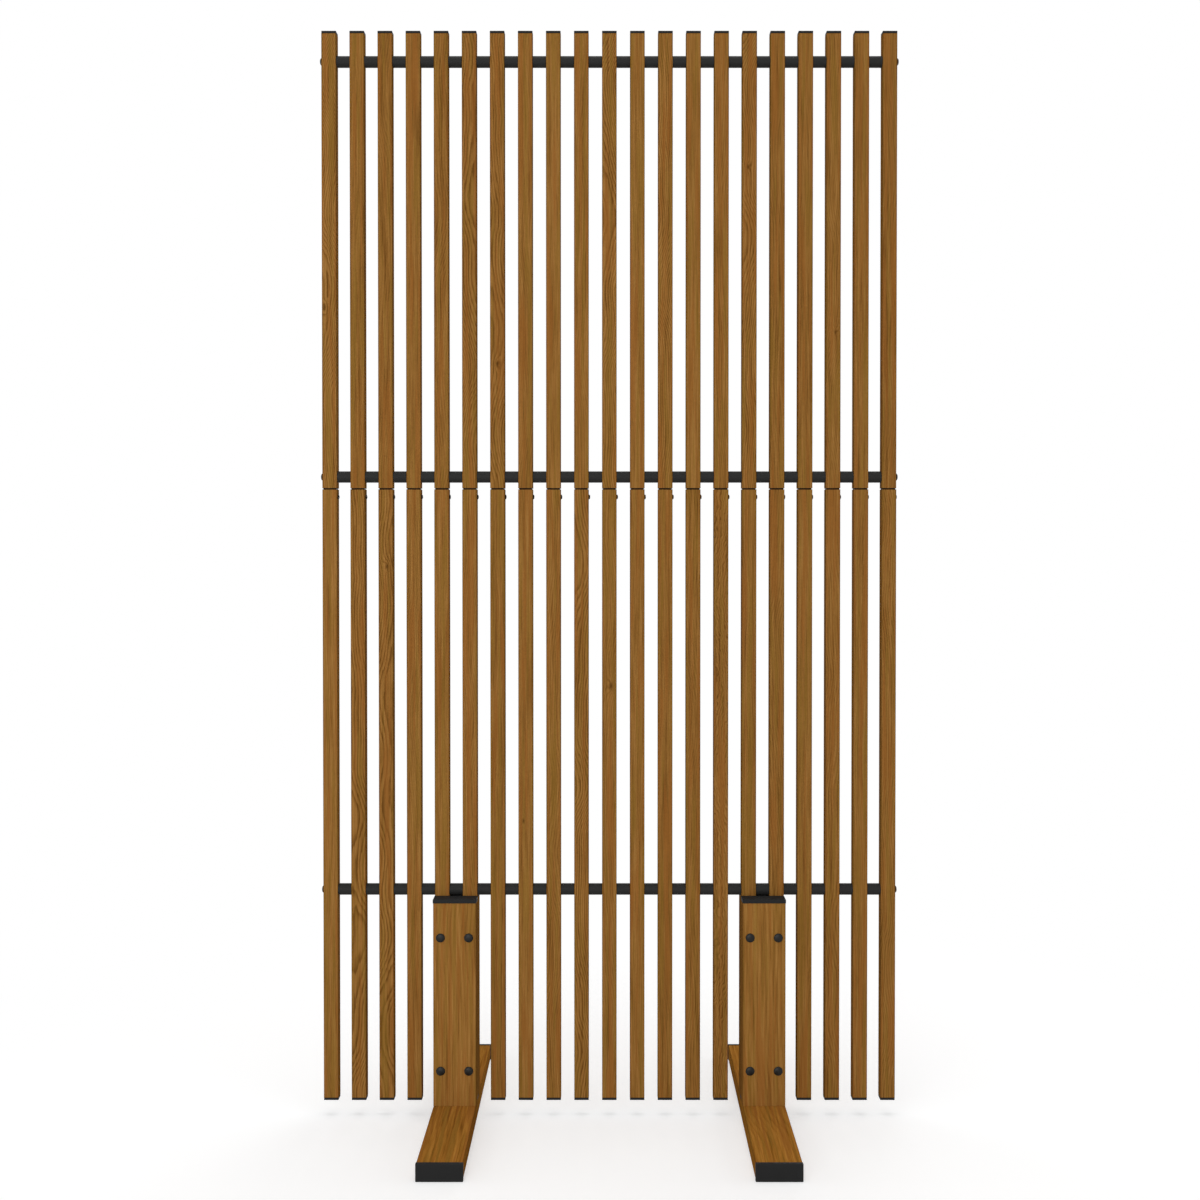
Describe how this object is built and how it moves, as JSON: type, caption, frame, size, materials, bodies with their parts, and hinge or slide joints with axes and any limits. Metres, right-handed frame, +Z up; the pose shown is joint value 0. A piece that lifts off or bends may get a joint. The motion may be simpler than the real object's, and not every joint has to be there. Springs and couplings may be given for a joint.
{
  "type": "garden privacy screen",
  "caption": "Free-standing garden privacy screen of slim upright wood-look slats on black spacers, clamped in two crossways feet.",
  "frame": {"origin": "on the floor, midway between the two feet and midway between their front and rear ends", "axes": "+X along the row of slats to the viewer's right, +Y from front to back, +Z up"},
  "size_m": [1.0874, 0.6, 2.0438],
  "materials": {
    "wood_grain": "hollow aluminium profile with a matt wood-grain coating",
    "black_plastic": "moulded black plastic, matt",
    "joiner_plastic": "dark brown plastic insert, hidden",
    "black_steel": "black coated steel fasteners",
    "plain_steel": "zinc-plated steel, hidden inside"
  },
  "bodies": {
    "root": {"upper_slat_01": "wood_grain", "lower_slat_01": "wood_grain", "upper_slat_02": "wood_grain", "lower_slat_02": "wood_grain", "upper_slat_03": "wood_grain", "lower_slat_03": "wood_grain", "upper_slat_04": "wood_grain", "lower_slat_04": "wood_grain", "upper_slat_05": "wood_grain", "lower_slat_05": "wood_grain", "upper_slat_06": "wood_grain", "lower_slat_06": "wood_grain", "upper_slat_07": "wood_grain", "lower_slat_07": "wood_grain", "upper_slat_08": "wood_grain", "lower_slat_08": "wood_grain", "upper_slat_09": "wood_grain", "lower_slat_09": "wood_grain", "upper_slat_10": "wood_grain", "lower_slat_10": "wood_grain", "upper_slat_11": "wood_grain", "lower_slat_11": "wood_grain", "upper_slat_12": "wood_grain", "lower_slat_12": "wood_grain", "upper_slat_13": "wood_grain", "lower_slat_13": "wood_grain", "upper_slat_14": "wood_grain", "lower_slat_14": "wood_grain", "upper_slat_15": "wood_grain", "lower_slat_15": "wood_grain", "upper_slat_16": "wood_grain", "lower_slat_16": "wood_grain", "upper_slat_17": "wood_grain", "lower_slat_17": "wood_grain", "upper_slat_18": "wood_grain", "lower_slat_18": "wood_grain", "upper_slat_19": "wood_grain", "lower_slat_19": "wood_grain", "upper_slat_20": "wood_grain", "lower_slat_20": "wood_grain", "upper_slat_21": "wood_grain", "lower_slat_21": "wood_grain", "slat_top_caps": "black_plastic", "slat_bottom_caps": "black_plastic", "slat_joiners": "joiner_plastic", "joiner_screws": "black_steel", "spacers": "black_plastic", "tie_bars": "plain_steel", "bar_end_screws": "black_steel", "foot_beam_left": "wood_grain", "foot_beam_right": "wood_grain", "front_upright_left": "wood_grain", "front_upright_right": "wood_grain", "rear_upright_left": "wood_grain", "rear_upright_right": "wood_grain", "upright_tongues": "plain_steel", "beam_end_caps": "black_plastic", "upright_top_caps": "black_plastic", "clamp_bolts": "black_steel", "clamp_nuts": "black_steel"}
  },
  "joints": []
}
